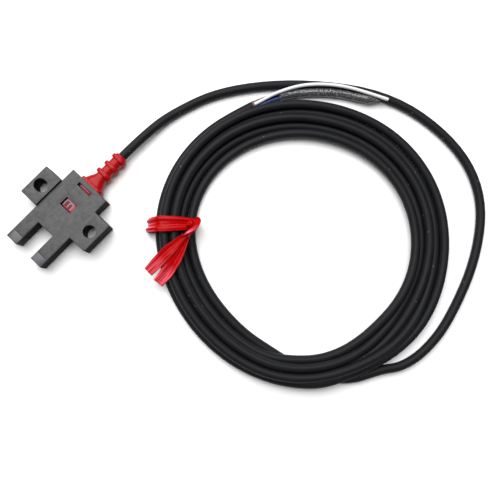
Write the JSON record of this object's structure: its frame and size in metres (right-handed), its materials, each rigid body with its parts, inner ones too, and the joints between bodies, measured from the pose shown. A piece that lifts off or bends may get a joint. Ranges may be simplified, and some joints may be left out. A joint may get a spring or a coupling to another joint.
{
  "type": "photoelectric sensor",
  "caption": "Slot-type micro photoelectric sensor with two mounting ears, red indicator windows and a coiled four-core cable tied with a ribbon.",
  "frame": {"origin": "middle of the sensor and its boot, on the flat back face that rests on the mounting surface; the free cable is left out", "axes": "+Z out of the indicator face, +Y from the sensing slot towards the cable, +X towards the ear with the round hole"},
  "size_m": [0.1038, 0.0998, 0.0072],
  "materials": {
    "case": "fine spark-eroded texture, dark grey PBT",
    "case_cover": "fine texture, dark grey PBT",
    "ir_window": "infrared-passing polycarbonate, nearly black",
    "light_guide": "clear red polycarbonate",
    "board": "solder-masked glass epoxy",
    "led_clear": "bluish clear epoxy",
    "led_dark": "dark infrared epoxy",
    "chip": "black moulding compound",
    "indicator": "red diffused epoxy",
    "resistor": "black glaze",
    "capacitor": "tan ceramic",
    "solder": "bright solder",
    "core_brown": "brown vinyl insulation",
    "core_blue": "blue vinyl insulation",
    "core_black": "black vinyl insulation",
    "core_white": "white vinyl insulation",
    "jacket": "satin black vinyl jacket",
    "boot": "satin red elastomer",
    "sleeve": "thin smoky clear vinyl",
    "ribbon": "glossy red vinyl ribbon"
  },
  "bodies": {
    "root": {"case_front": "case", "case_back": "case_cover", "emitter_window": "ir_window", "receiver_window": "ir_window", "light_guide": "light_guide", "circuit_board": "board", "infrared_led": "led_clear", "phototransistor": "led_dark", "detector_chip": "chip", "output_transistor": "chip", "indicator_led": "indicator", "chip_resistors": "resistor", "chip_capacitors": "capacitor", "solder_joints": "solder", "inner_core_brown": "core_brown", "inner_core_blue": "core_blue", "inner_core_black": "core_black", "inner_core_white": "core_white", "inner_cable": "jacket", "cable_boot": "boot", "cable_loop": "jacket", "cable_coil": "jacket", "cable_end": "jacket", "lead_brown": "core_brown", "lead_blue": "core_blue", "lead_black": "core_black", "lead_white": "core_white", "lead_sleeve": "sleeve", "ribbon_tie": "ribbon"}
  },
  "joints": []
}
